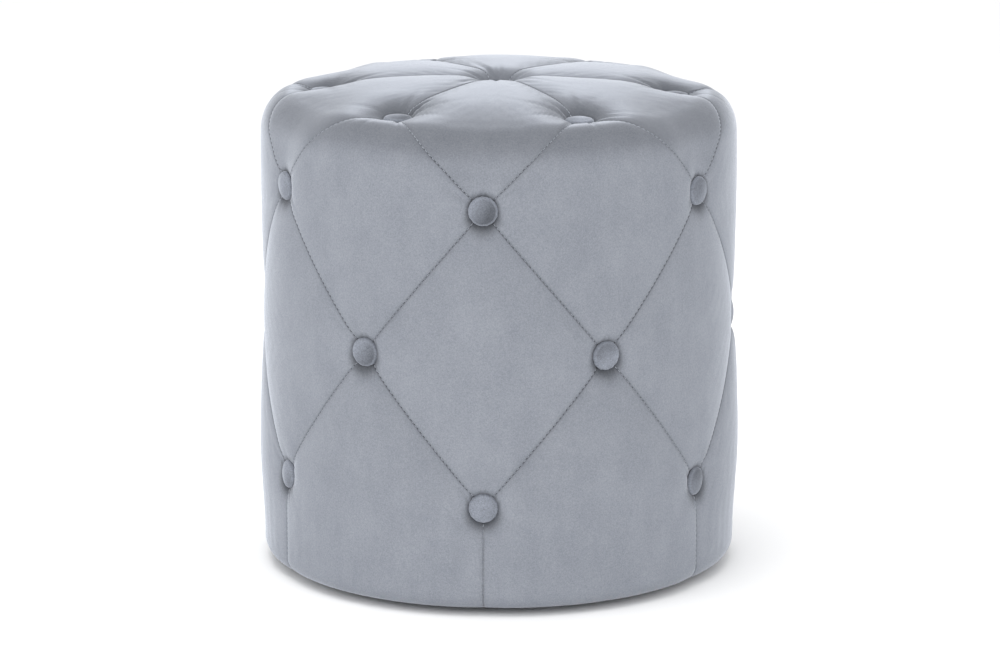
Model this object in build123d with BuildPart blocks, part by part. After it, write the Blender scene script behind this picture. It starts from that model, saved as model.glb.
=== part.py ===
from build123d import *

import os
from collections import namedtuple
from math import asin, atan2, cos, hypot, inf, pi, radians, sin, sqrt

# A round tufted pouf: a plywood and hardboard drum, foam, a sewn velvet cover and covered buttons.
# Millimetres, +Z up. The origin is on the floor under the middle, and a column of buttons faces -Y.

# Counts
repeats = 6
screws_per_end = 2

# Outline of the cover over its fullest places
body_radius = 200.0
crown_height = 415.0
dome_radius = 1200.0
shoulder_radius = 40.0
hem_radius = 13.0

# Tufting: where the buttons sit, how far they and the seams are drawn in, and how much the crown's edge eases
row_spacing = 122.5
seam_drop = 3.5
side_tuft_drop = 7.0
ring_tuft_drop = 10.5
centre_tuft_drop = 14.0
crown_ease = 6.0
seam_gap = 0.9
tuft_steepness = 8
crown_steepness = 6

# Padding and cover
side_padding = 12.0
top_padding = 20.0
side_foam_thickness = 25.0
top_foam_thickness = 34.0
foam_edge_radius = 16.0
hem_thickness = 2.0
hem_return = 60.0
panel_depth = 24.0

# Frame
drum_thickness = 3.0
drum_butt_gap = 1.0
board_thickness = 15.0
base_opening_radius = 90.0
upright_width = 40.0
upright_depth = 25.0

# Buttons, twine and toggles
button_radius = 12.0
button_height = 6.0
button_rim = 1.6
button_clearance = 0.5
back_radius = 8.0
back_thickness = 1.5
back_recess = 2.0
lug_width = 5.0
lug_thickness = 1.6
lug_length = 6.5
lug_hole_radius = 1.2
lug_hole_depth = 4.0
twine_radius = 0.8
twine_hole_radius = 3.2
strand_spread = 2.0
toggle_radius = 9.0
toggle_thickness = 3.0
toggle_clearance = 1.0
ring_toggle_clearance = 4.0
knot_radius = 3.5
fit_clearance = 0.1

# Fasteners
screw_radius = 2.0
screw_head_radius = 4.0
screw_length = 45.0
screw_spacing = 20.0
tack_radius = 0.8
tack_head_radius = 3.0
tack_head_thickness = 1.0
tack_length = 15.0
staple_width = 10.0
staple_wire = 1.2
staple_leg = 8.0

# Underside
glide_radius = 12.0
glide_height = 4.0
glide_edge_radius = 2.5
nail_radius = 1.5
nail_length = 18.0
nail_bed = 1.5
dust_cover_thickness = 1.0
dust_cover_margin = 5.0

# Places worked out from the sizes above
sector = 360.0 / repeats
dust_cover_bottom = glide_height
hem_bottom = dust_cover_bottom + dust_cover_thickness
base_bottom = hem_bottom + hem_thickness
base_top = base_bottom + board_thickness
foam_radius = body_radius - side_padding
drum_radius = foam_radius - side_foam_thickness
board_radius = drum_radius - drum_thickness
ring_radius = board_radius - toggle_radius - ring_toggle_clearance
foam_crown = crown_height - top_padding
board_top = foam_crown - top_foam_thickness
board_bottom = board_top - board_thickness
upper_row = board_bottom - toggle_radius - toggle_clearance
middle_row = upper_row - row_spacing
lower_row = middle_row - row_spacing
hem_inner_radius = body_radius - hem_return
fixing_radius = (hem_inner_radius + board_radius) / 2
upright_face = sqrt(board_radius**2 - (upright_width / 2) ** 2)
screw_circle = upright_face - upright_depth / 2

# The outline in a plane through the axis: a shallow dome, a shoulder arc, the straight side and the hem arc
dome_centre = crown_height - dome_radius
shoulder_middle = body_radius - shoulder_radius
shoulder_height = dome_centre + sqrt((dome_radius - shoulder_radius) ** 2 - shoulder_middle**2)
dome_angle = asin(shoulder_middle / (dome_radius - shoulder_radius))
dome_length = dome_radius * dome_angle
shoulder_length = shoulder_radius * (pi / 2 - dome_angle)
hem_height = hem_bottom + hem_radius
hem_middle = body_radius - hem_radius

# A button in the pattern: its angle from the panel's middle, its place along the outline and its depth
Tuft = namedtuple("Tuft", "angle length drop")
# A point where a seam crosses a panel's section, with the angle of the outline's normal from upright
Seam = namedtuple("Seam", "radius height angle normal")


def outline_at(length):
    """Radius, height and normal angle of the outline at a length down from the middle of the dome."""
    if length <= dome_length:
        angle = length / dome_radius
        return dome_radius * sin(angle), dome_centre + dome_radius * cos(angle), angle
    if length <= dome_length + shoulder_length:
        angle = dome_angle + (length - dome_length) / shoulder_radius
        radius = shoulder_middle + shoulder_radius * sin(angle)
        return radius, shoulder_height + shoulder_radius * cos(angle), angle
    return body_radius, shoulder_height - (length - dome_length - shoulder_length), pi / 2


def length_at_height(height):
    """Length along the outline at which the straight side reaches a height."""
    return dome_length + shoulder_length + shoulder_height - height


def reach(start, direction, centre, radius):
    """Distance from a point inside a circle to the circle, along a unit direction."""
    offset = (start[0] - centre[0], start[1] - centre[1])
    along = offset[0] * direction[0] + offset[1] * direction[1]
    return sqrt(along**2 - offset[0] ** 2 - offset[1] ** 2 + radius**2) - along


def reach_outline(start, direction):
    """Distance from a point inside the outline to the outline, along a unit direction."""
    side = (body_radius - start[0]) / direction[0] if direction[0] > 0 else inf
    height = start[1] + side * direction[1]
    if hem_height <= height <= shoulder_height:
        return side
    if height < hem_height:
        return reach(start, direction, (hem_middle, hem_height), hem_radius)
    dome = reach(start, direction, (0, dome_centre), dome_radius)
    if start[0] + dome * direction[0] <= dome_radius * sin(dome_angle):
        return dome
    return reach(start, direction, (shoulder_middle, shoulder_height), shoulder_radius)


def seam_at(start, end, share):
    """Point of the seam between two buttons, drawn in to full depth at each of them."""
    radius, height, normal = outline_at(start.length + share * (end.length - start.length))
    drop = seam_drop
    drop += (start.drop - seam_drop) * (1 - share) ** tuft_steepness
    drop += (end.drop - seam_drop) * share**tuft_steepness
    angle = radians(start.angle + share * (end.angle - start.angle))
    return Seam(radius - drop * sin(normal), height - drop * cos(normal), angle, normal)


def panel_section(pivot, seam, crown_drop, depth):
    """Closed section of a panel centred on +X: its two seam edges, the crown between them and its back."""
    middle = seam.radius * cos(seam.angle)
    half_width = seam.radius * sin(seam.angle) - seam_gap / 2
    seam_reach = hypot(middle - pivot[0], seam.height - pivot[1])
    direction = ((middle - pivot[0]) / seam_reach, (seam.height - pivot[1]) / seam_reach)
    crown_reach = reach_outline(pivot, direction) - crown_drop
    inward = sin(seam.normal) * cos(seam.angle) * direction[0] + cos(seam.normal) * direction[1]
    back_reach = seam_reach - depth * inward
    back_width = half_width - depth * sin(seam.normal) * sin(seam.angle)
    plane = Plane(origin=(pivot[0], 0, pivot[1]), x_dir=(0, 1, 0), z_dir=(direction[1], 0, -direction[0]))
    with BuildSketch(plane) as section:
        with BuildLine():
            ThreePointArc((-half_width, seam_reach), (0, crown_reach), (half_width, seam_reach))
            Line((half_width, seam_reach), (back_width, back_reach))
            Line((back_width, back_reach), (-back_width, back_reach))
            Line((-back_width, back_reach), (-half_width, seam_reach))
        make_face()
    return section.sketch


def half_panel(start, end, apex_drop, pivot_for, ease=0):
    """Sections from the buttons at a panel's widest line to the button at its tip."""
    sections = []
    for share in (1.0, 0.88, 0.7, 0.5, 0.3, 0.12, 0.02):
        seam = seam_at(start, end, share)
        crown_drop = apex_drop * (1 - share) ** crown_steepness + ease * sin(pi * share) ** 2
        sections.append(panel_section(pivot_for(seam), seam, crown_drop, panel_depth))
    return sections


def level_pivot(seam):
    """Pivot of a level section."""
    return 0, seam.height


def upright_pivot(seam):
    """Pivot of an upright section across a seat panel."""
    return seam.radius * cos(seam.angle), 0


def shoulder_pivot(ring_angle):
    """Pivot of the sections that fan over the shoulder, from the seat ring to the upper row."""
    ring_seam = seam_at(Tuft(ring_angle, ring_length, ring_tuft_drop), side_tuft(0, upper_row), 0)
    corner = (ring_seam.radius * cos(ring_seam.angle), upper_row)
    return lambda seam: corner


def side_tuft(angle, height):
    """Button on the straight side."""
    return Tuft(angle, length_at_height(height), side_tuft_drop)


def hem_section(height):
    """Level section of a hem panel below the lower row."""
    share = (height - hem_bottom) / (lower_row - hem_bottom)
    drop = seam_drop + (side_tuft_drop - seam_drop) * share**tuft_steepness
    radius = reach_outline((0, height), (1, 0)) - drop
    seam = Seam(radius, height, radians(sector / 2), pi / 2)
    return panel_section((0, height), seam, 0, radius - hem_inner_radius)


def side_seat(angle, height):
    """Plane of a side button's seat, facing outwards."""
    outward = (cos(radians(angle)), sin(radians(angle)))
    seat = body_radius - side_tuft_drop
    origin = (seat * outward[0], seat * outward[1], height)
    return Plane(origin=origin, x_dir=(0, 0, 1), z_dir=(*outward, 0))


def ring_seat(angle):
    """Plane of a button's seat in the ring on top."""
    outward = (cos(radians(angle)), sin(radians(angle)))
    height = outline_at(ring_length)[1] - ring_tuft_drop
    origin = (ring_radius * outward[0], ring_radius * outward[1], height)
    return Plane(origin=origin, x_dir=(*outward, 0), z_dir=(0, 0, 1))


def cut_seats(seats):
    """Cut the button pockets and twine holes out of the part that is being built."""
    with Locations(*seats):
        Cylinder(
            button_radius + button_clearance,
            crown_height,
            align=(Align.CENTER, Align.CENTER, Align.MIN),
            mode=Mode.SUBTRACT,
        )
        Cylinder(twine_hole_radius, body_radius, mode=Mode.SUBTRACT)


def save(piece, name):
    """Label a finished piece and write its file."""
    piece.part.label = name
    export_step(piece.part, f"parts/{name}.step")


ring_length = dome_radius * asin(ring_radius / dome_radius)
ring_tuft = Tuft(0, ring_length, ring_tuft_drop)
ring_tuft_aside = Tuft(sector / 2, ring_length, ring_tuft_drop)
centre_tuft = Tuft(sector / 2, 0, centre_tuft_drop)
column_angles = [sector * (step + 1 / 2) for step in range(repeats)]
middle_angles = [sector * step for step in range(repeats)]
centre_seat = Plane.XY.offset(crown_height - centre_tuft_drop)
ring_seats = [ring_seat(angle) for angle in middle_angles]
upper_seats = [side_seat(angle, upper_row) for angle in column_angles]
middle_seats = [side_seat(angle, middle_row) for angle in middle_angles]
lower_seats = [side_seat(angle, lower_row) for angle in column_angles]
top_seats = [centre_seat, *ring_seats]
side_seats = [*upper_seats, *middle_seats, *lower_seats]

os.makedirs("parts", exist_ok=True)


# Solids under the cover: the whole padded body, and the seat foam on the board
def padding_above(bottom):
    """Half section of the padded body from a height to the foam's dome."""
    foam_dome = dome_radius - top_padding
    edge = dome_centre + sqrt(foam_dome**2 - foam_radius**2)
    with BuildSketch(Plane.XZ) as section:
        with BuildLine():
            Polyline((0, foam_crown), (0, bottom), (foam_radius, bottom), (foam_radius, edge))
            TangentArc((0, foam_crown), (foam_radius, edge), tangent=(1, 0))
        make_face()
        fillet(section.vertices().group_by(Axis.X)[-1].sort_by(Axis.Y)[-1], foam_edge_radius)
    return section.sketch


with BuildPart() as padded_body:
    revolve(padding_above(base_bottom), axis=Axis.Z)

with BuildPart() as top_foam:
    revolve(padding_above(board_top), axis=Axis.Z)
    with Locations(*top_seats):
        Cylinder(twine_hole_radius, crown_height, mode=Mode.SUBTRACT)
save(top_foam, "top_foam")

with BuildPart() as side_foam:
    with BuildSketch(Plane.XY.offset(base_bottom)):
        Circle(foam_radius)
        Circle(drum_radius, mode=Mode.SUBTRACT)
    extrude(amount=board_top - base_bottom)
    with Locations(*side_seats):
        Cylinder(twine_hole_radius, body_radius, mode=Mode.SUBTRACT)
save(side_foam, "side_foam")

# Fastener shapes
with BuildPart() as screw:
    with BuildSketch(Plane.XZ):
        with BuildLine():
            head_depth = screw_head_radius - screw_radius
            tip = screw_length - screw_radius
            Polyline(
                (0, 0),
                (screw_head_radius, 0),
                (screw_radius, -head_depth),
                (screw_radius, -tip),
                (0, -screw_length),
                close=True,
            )
        make_face()
    revolve(axis=Axis.Z)

with BuildPart() as tack:
    with BuildSketch():
        Circle(tack_head_radius)
    extrude(amount=-tack_head_thickness)
    with BuildSketch(Plane.XY.offset(-tack_head_thickness)):
        Circle(tack_radius)
    extrude(amount=tack_head_thickness - tack_length)

with BuildPart() as staple:
    bottom_up = (Align.CENTER, Align.CENTER, Align.MIN)
    Box(staple_wire, staple_width, staple_wire, align=bottom_up)
    with Locations((0, (staple_width - staple_wire) / 2, 0), (0, (staple_wire - staple_width) / 2, 0)):
        Box(staple_wire, staple_wire, staple_leg, align=bottom_up)

# Fasteners in their places
upright_angles = [sector * (step + 1 / 4) for step in range(repeats)]
glide_angles = [sector * (step + 3 / 4) for step in range(repeats)]
hem_staple_shares = (1 / 12, 5 / 12, 7 / 12, 11 / 12)
dust_staple_shares = (0, 1 / 2)
tack_shares = (1 / 2, 11 / 12)


def screw_places(height):
    """Places of the two screws over each upright, on a level plane."""
    places = []
    for angle in upright_angles:
        for step in range(screws_per_end):
            aside = screw_spacing * (step - (screws_per_end - 1) / 2)
            turn = Location((0, 0, height), (0, 0, angle))
            places.append(turn * Location((screw_circle, aside, 0)))
    return places


with BuildPart() as upper_screws:
    with Locations(*screw_places(board_top)):
        add(screw.part)
save(upper_screws, "upper_screws")

with BuildPart() as lower_screws:
    with Locations(*[place * Location((0, 0, 0), (180, 0, 0)) for place in screw_places(base_bottom)]):
        add(screw.part)
save(lower_screws, "lower_screws")

tack_seat = sqrt(drum_radius**2 - tack_head_radius**2)
tack_places = []
for height in (base_bottom + board_thickness / 2, board_top - board_thickness / 2):
    for share in tack_shares:
        for step in range(repeats):
            angle = radians(sector * (step + share))
            outward = (cos(angle), sin(angle), 0)
            origin = (tack_seat * outward[0], tack_seat * outward[1], height)
            tack_places.append(Plane(origin=origin, x_dir=(0, 0, 1), z_dir=outward))

with BuildPart() as drum_tacks:
    with Locations(*tack_places):
        add(tack.part)
save(drum_tacks, "drum_tacks")

with BuildPart(Plane.XY.offset(hem_bottom)) as hem_staples:
    for share in hem_staple_shares:
        with PolarLocations(fixing_radius, repeats, start_angle=sector * share):
            add(staple.part)
save(hem_staples, "hem_staples")

with BuildPart(Plane.XY.offset(dust_cover_bottom - staple_wire)) as dust_cover_staples:
    for share in dust_staple_shares:
        with PolarLocations(fixing_radius, repeats, start_angle=sector * share):
            add(staple.part)
save(dust_cover_staples, "dust_cover_staples")

with BuildPart(Plane.XY.offset(nail_bed)) as glide_nails:
    with PolarLocations(fixing_radius, repeats, start_angle=glide_angles[0]):
        Cylinder(nail_radius, nail_length, align=(Align.CENTER, Align.CENTER, Align.MIN))
save(glide_nails, "glide_nails")

# Frame
with BuildPart() as top_board:
    with BuildSketch(Plane.XY.offset(board_bottom)):
        Circle(board_radius)
    extrude(amount=board_thickness)
    with Locations(*top_seats):
        Cylinder(twine_hole_radius, crown_height, mode=Mode.SUBTRACT)
    add(upper_screws.part, mode=Mode.SUBTRACT)
    add(drum_tacks.part, mode=Mode.SUBTRACT)
save(top_board, "top_board")

with BuildPart() as base_ring:
    with BuildSketch(Plane.XY.offset(base_bottom)):
        Circle(board_radius)
        Circle(base_opening_radius, mode=Mode.SUBTRACT)
    extrude(amount=board_thickness)
    for fastener in (lower_screws, drum_tacks, hem_staples, dust_cover_staples, glide_nails):
        add(fastener.part, mode=Mode.SUBTRACT)
save(base_ring, "base_ring")

with BuildPart(Plane.XY.offset(base_top)) as upright:
    with Locations((screw_circle, 0, 0)):
        Box(
            upright_depth,
            upright_width,
            board_bottom - base_top,
            align=(Align.CENTER, Align.CENTER, Align.MIN),
        )
for index, angle in enumerate(upright_angles, start=1):
    with BuildPart() as placed_upright:
        with Locations(Location((0, 0, 0), (0, 0, angle))):
            add(upright.part)
        add(upper_screws.part, mode=Mode.SUBTRACT)
        add(lower_screws.part, mode=Mode.SUBTRACT)
    save(placed_upright, f"upright_{index}")

with BuildPart() as side_drum:
    with BuildSketch(Plane.XY.offset(base_bottom)):
        Circle(drum_radius)
        Circle(board_radius, mode=Mode.SUBTRACT)
        with PolarLocations(drum_radius, 1, start_angle=upright_angles[0]):
            Rectangle(4 * drum_thickness, drum_butt_gap, mode=Mode.SUBTRACT)
    extrude(amount=board_top - base_bottom)
    with Locations(*side_seats):
        Cylinder(twine_hole_radius, body_radius, mode=Mode.SUBTRACT)
    add(drum_tacks.part, mode=Mode.SUBTRACT)
save(side_drum, "side_drum")

# Cover panels, each made round +X
with BuildPart() as crown_panel:
    loft(half_panel(centre_tuft, ring_tuft_aside, centre_tuft_drop, upright_pivot))
    loft(
        half_panel(
            side_tuft(0, upper_row),
            ring_tuft_aside,
            side_tuft_drop,
            shoulder_pivot(sector / 2),
            crown_ease,
        )
    )
    add(padded_body.part, mode=Mode.SUBTRACT)
    cut_seats([centre_seat, ring_seat(-sector / 2), ring_seat(sector / 2), side_seat(0, upper_row)])

with BuildPart() as shoulder_panel:
    loft(half_panel(ring_tuft, side_tuft(sector / 2, upper_row), ring_tuft_drop, shoulder_pivot(0)))
    loft(
        half_panel(
            side_tuft(0, middle_row), side_tuft(sector / 2, upper_row), side_tuft_drop, level_pivot
        )
    )
    add(padded_body.part, mode=Mode.SUBTRACT)
    cut_seats(
        [
            ring_seat(0),
            side_seat(-sector / 2, upper_row),
            side_seat(sector / 2, upper_row),
            side_seat(0, middle_row),
        ]
    )

with BuildPart() as side_panel:
    for tip in (upper_row, lower_row):
        loft(
            half_panel(
                side_tuft(0, tip), side_tuft(sector / 2, middle_row), side_tuft_drop, level_pivot
            )
        )
    add(padded_body.part, mode=Mode.SUBTRACT)
    cut_seats(
        [
            side_seat(0, upper_row),
            side_seat(-sector / 2, middle_row),
            side_seat(sector / 2, middle_row),
            side_seat(0, lower_row),
        ]
    )

with BuildPart() as hem_panel:
    loft(
        half_panel(
            side_tuft(0, middle_row), side_tuft(sector / 2, lower_row), side_tuft_drop, level_pivot
        )
    )
    loft([hem_section(lower_row - share * (lower_row - hem_height)) for share in (0, 0.15, 0.4, 0.7, 1)])
    loft([hem_section(hem_height - hem_radius * sin(radians(turn))) for turn in (0, 30, 60, 90)])
    add(padded_body.part, mode=Mode.SUBTRACT)
    cut_seats(
        [
            side_seat(0, middle_row),
            side_seat(-sector / 2, lower_row),
            side_seat(sector / 2, lower_row),
        ]
    )
    for fastener in (hem_staples, dust_cover_staples, glide_nails):
        add(fastener.part, mode=Mode.SUBTRACT)

for panel, name, angles in (
    (crown_panel, "crown_panel", column_angles),
    (shoulder_panel, "shoulder_panel", middle_angles),
    (side_panel, "side_panel", column_angles),
    (hem_panel, "hem_panel", middle_angles),
):
    for index, angle in enumerate(angles, start=1):
        with BuildPart() as placed_panel:
            with Locations(Location((0, 0, 0), (0, 0, angle))):
                add(panel.part)
        save(placed_panel, f"{name}_{index}")

# Buttons: a covered cap over a back plate with a lug, the seat at zero and outwards up
with BuildPart() as button:
    with BuildSketch(Plane.XZ):
        with BuildLine():
            TangentArc((0, button_height), (button_radius, button_rim), tangent=(1, 0))
            Polyline(
                (button_radius, button_rim),
                (button_radius, 0),
                (back_radius + fit_clearance, 0),
                (back_radius + fit_clearance, back_recess),
                (0, back_recess),
                (0, button_height),
            )
        make_face()
    revolve(axis=Axis.Z)

with BuildPart() as button_back:
    with BuildSketch(Plane.XY.offset(back_recess)):
        Circle(back_radius)
    extrude(amount=-back_thickness)
    with BuildSketch(Plane.XY.offset(back_recess - back_thickness)):
        Rectangle(lug_width, lug_thickness)
    extrude(amount=-lug_length)
    with Locations(Location((0, 0, -lug_hole_depth), (90, 0, 0))):
        Cylinder(lug_hole_radius, back_radius, mode=Mode.SUBTRACT)

button_rows = {
    "centre_button": [centre_seat],
    "seat_ring_buttons": ring_seats,
    "upper_row_buttons": upper_seats,
    "middle_row_buttons": middle_seats,
    "lower_row_buttons": lower_seats,
}
for name, seats in button_rows.items():
    with BuildPart() as row:
        with Locations(*seats):
            add(button.part)
    save(row, name)

with BuildPart() as button_backs:
    with Locations(*top_seats, *side_seats):
        add(button_back.part)
save(button_backs, "button_backs")


# Twine: a hairpin through the lug, down to a toggle and a knot behind it
def hairpin(depth):
    """Twine from a button's lug to the knot behind its toggle, with the toggle's face at a depth."""
    turn = -lug_hole_depth - strand_spread
    knot = -depth - toggle_thickness - knot_radius
    with BuildPart() as twine:
        with BuildLine(Plane.YZ) as path:
            Line((-strand_spread, knot), (-strand_spread, turn))
            ThreePointArc((-strand_spread, turn), (0, turn + strand_spread), (strand_spread, turn))
            Line((strand_spread, turn), (strand_spread, knot))
        with BuildSketch(Plane.XY.offset(knot)):
            with Locations((0, -strand_spread)):
                Circle(twine_radius)
        sweep(path=path.wires()[0])
        with Locations((0, 0, knot)):
            Sphere(knot_radius)
    return twine.part


with BuildPart() as toggle:
    Cylinder(toggle_radius, toggle_thickness, align=(Align.CENTER, Align.CENTER, Align.MAX))
    with Locations((0, -strand_spread), (0, strand_spread)):
        Cylinder(twine_radius + fit_clearance, 2 * toggle_thickness, mode=Mode.SUBTRACT)

toggle_seat = sqrt(board_radius**2 - toggle_radius**2)
seat_depths = [
    ([centre_seat], centre_seat.origin.Z - board_bottom),
    (ring_seats, ring_seats[0].origin.Z - board_bottom),
    (side_seats, body_radius - side_tuft_drop - toggle_seat),
]

with BuildPart() as tufting_twines:
    for seats, depth in seat_depths:
        twine = hairpin(depth)
        with Locations(*seats):
            add(twine)
save(tufting_twines, "tufting_twines")

with BuildPart() as twine_toggles:
    for seats, depth in seat_depths:
        with Locations(*[Location(seat) * Location((0, 0, -depth)) for seat in seats]):
            add(toggle.part)
save(twine_toggles, "twine_toggles")

# Underside
with BuildPart() as dust_cover:
    with BuildSketch(Plane.XY.offset(dust_cover_bottom)):
        Circle(board_radius + dust_cover_margin)
    extrude(amount=dust_cover_thickness)
    add(dust_cover_staples.part, mode=Mode.SUBTRACT)
    add(glide_nails.part, mode=Mode.SUBTRACT)
save(dust_cover, "dust_cover")

with BuildPart() as glide:
    Cylinder(glide_radius, glide_height, align=(Align.CENTER, Align.CENTER, Align.MIN))
    fillet(glide.edges().sort_by(Axis.Z)[0], glide_edge_radius)
    with Locations((0, 0, nail_bed)):
        Cylinder(
            nail_radius,
            glide_height,
            align=(Align.CENTER, Align.CENTER, Align.MIN),
            mode=Mode.SUBTRACT,
        )
for index, angle in enumerate(glide_angles, start=1):
    with BuildPart() as placed_glide:
        with PolarLocations(fixing_radius, 1, start_angle=angle):
            add(glide.part)
    save(placed_glide, f"glide_{index}")
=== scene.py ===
from collections import namedtuple
from math import asin, cos, pi, radians, sin, sqrt, tau

import bpy
import numpy as np
from bpy.props import FloatProperty, FloatVectorProperty, IntProperty, PointerProperty
from mathutils import Matrix, Vector, noise


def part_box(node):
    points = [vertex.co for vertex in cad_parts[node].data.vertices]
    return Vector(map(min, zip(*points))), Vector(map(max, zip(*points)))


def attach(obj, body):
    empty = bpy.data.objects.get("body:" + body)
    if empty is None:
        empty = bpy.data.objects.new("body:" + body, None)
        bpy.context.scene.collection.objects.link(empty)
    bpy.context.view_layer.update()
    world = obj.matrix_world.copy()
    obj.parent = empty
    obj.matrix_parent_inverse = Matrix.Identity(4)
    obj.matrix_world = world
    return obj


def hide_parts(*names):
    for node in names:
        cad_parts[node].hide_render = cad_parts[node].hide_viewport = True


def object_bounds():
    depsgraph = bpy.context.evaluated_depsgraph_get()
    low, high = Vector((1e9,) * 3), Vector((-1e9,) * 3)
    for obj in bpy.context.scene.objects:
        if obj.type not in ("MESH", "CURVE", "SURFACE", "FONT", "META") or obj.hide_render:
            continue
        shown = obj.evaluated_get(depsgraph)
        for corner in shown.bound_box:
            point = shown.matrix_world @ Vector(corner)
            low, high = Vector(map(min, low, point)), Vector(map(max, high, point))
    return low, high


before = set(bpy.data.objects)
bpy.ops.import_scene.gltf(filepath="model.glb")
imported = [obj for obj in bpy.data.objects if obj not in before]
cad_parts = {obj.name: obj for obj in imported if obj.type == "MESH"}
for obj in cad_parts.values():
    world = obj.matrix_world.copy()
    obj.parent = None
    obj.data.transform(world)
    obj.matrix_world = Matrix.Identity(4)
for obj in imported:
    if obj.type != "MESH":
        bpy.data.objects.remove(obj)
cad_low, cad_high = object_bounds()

bl_info = {
    "name": "Tufted velvet pouf",
    "version": (1, 0, 0),
    "blender": (4, 5, 0),
    "location": "View3D > Sidebar > Pouf",
    "description": "Dresses the packed pouf with its velvet cover, buttons, stitches, foam and dust cloth",
    "category": "Object",
}

# The cover repeats round the axis: the upper and the lower row of buttons stand at the column angles,
# the ring on top and the middle row at the angles between them
REPEATS = 6
SECTOR = tau / REPEATS
COLUMN_ANGLES = [SECTOR * (step + 1 / 2) for step in range(REPEATS)]
MIDDLE_ANGLES = [SECTOR * step for step in range(REPEATS)]

# Places read from the packed model, in metres
BODY_RADIUS = cad_high.x
BUTTON_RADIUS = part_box("centre_button")[1].x
CENTRE_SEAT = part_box("centre_button")[0].z
RING_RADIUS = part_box("seat_ring_buttons")[1].x - BUTTON_RADIUS
RING_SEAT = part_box("seat_ring_buttons")[0].z
HEM_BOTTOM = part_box("hem_panel_1")[0].z
BASE_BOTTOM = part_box("base_ring")[0].z
BASE_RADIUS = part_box("base_ring")[1].x
FOAM_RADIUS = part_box("side_foam")[1].x
FOAM_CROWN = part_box("top_foam")[1].z
BOARD_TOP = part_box("top_board")[1].z
DRUM_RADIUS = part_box("side_drum")[1].x
DUST_CLOTH_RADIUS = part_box("dust_cover")[1].x


def row_height(node):
    """Height of the middle of a row of buttons."""
    low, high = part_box(node)
    return (low.z + high.z) / 2


# The rows of buttons on the side, from the top: their heights and angles
SIDE_ROWS = {
    "upper_row_buttons": (row_height("upper_row_buttons"), COLUMN_ANGLES),
    "middle_row_buttons": (row_height("middle_row_buttons"), MIDDLE_ANGLES),
    "lower_row_buttons": (row_height("lower_row_buttons"), COLUMN_ANGLES),
}

# Seeds of what is drawn at random
FOLD_SEED = 25
LEAN_SEED = 12
LIE_SEED = 90876

# Buttons and dents: their flat middle and the start of the folds, as shares of a button's radius, and the
# cloth thrown up beside a fold, as a share of its depth
FLAT_SHARE = 0.8
FOLD_START = 0.9
FOLD_RIDGE = 1.1
# The nap's painted shade, where it is also flattened: how dark it is at a seam and how wide, and its reach
# above a button as a share of that below, so that the painted shadow lies mostly below a button
SEAM_PRESS_AND_SHADE = 0.3
PRESSED_AND_SHADED_SEAM_WIDTH = 0.0016
SHADE_REACH_ABOVE = 0.3
# The hem: height over which a swell fades out at the foot, and how the drawing in is lost under the base
SWELL_FADE = 0.09
UNDER_START = radians(120)
UNDER_LOSS = 0.85
# The panels: largest cell, growth of the cells away from a seam, and tightness of their padding
LARGEST_CELL = 0.0034
CELL_GROWTH = 1.35
# Stitches: depth in the rolled edge, distance from a button by its radius, and sides of the thread
STITCH_DEPTH = 0.45
STITCH_CLEARANCE = 1.15
THREAD_SIDES = 6
# Round pieces
BUTTON_SEGMENTS = 72
ROUND_SEGMENTS = 120
FOAM_BEVEL = 0.002
OPENING_SHARE = 0.56

# Painted shade of the velvet by how far a surface faces up: full where it is upright or level, dark on slopes
# between
SLOPE_SHADE_STOPS = (
    (0.0, 0.86), (0.25, 0.74), (0.5, 0.56), (0.72, 0.48), (0.87, 0.46), (0.94, 0.5),
    (0.963, 0.57), (0.978, 0.7), (0.988, 0.87), (0.995, 0.96), (1.0, 1.0),
)
# Darkest share of the colour where the nap is flattened and painted in shade
PRESS_AND_SHADE_TONE = 0.42


def length_setting(name, description, default):
    """A size in metres that a user may change."""
    return FloatProperty(name=name, description=description, default=default, unit="LENGTH", precision=5)


def angle_setting(name, description, default):
    """An angle that a user may change."""
    return FloatProperty(name=name, description=description, default=default, subtype="ANGLE")


def number_setting(name, description, default):
    """A share or other number that a user may change."""
    return FloatProperty(name=name, description=description, default=default)


def colour_setting(name, description, default):
    """A colour that a user may change."""
    return FloatVectorProperty(
        name=name, description=description, default=default, subtype="COLOR", min=0, max=1
    )


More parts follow.
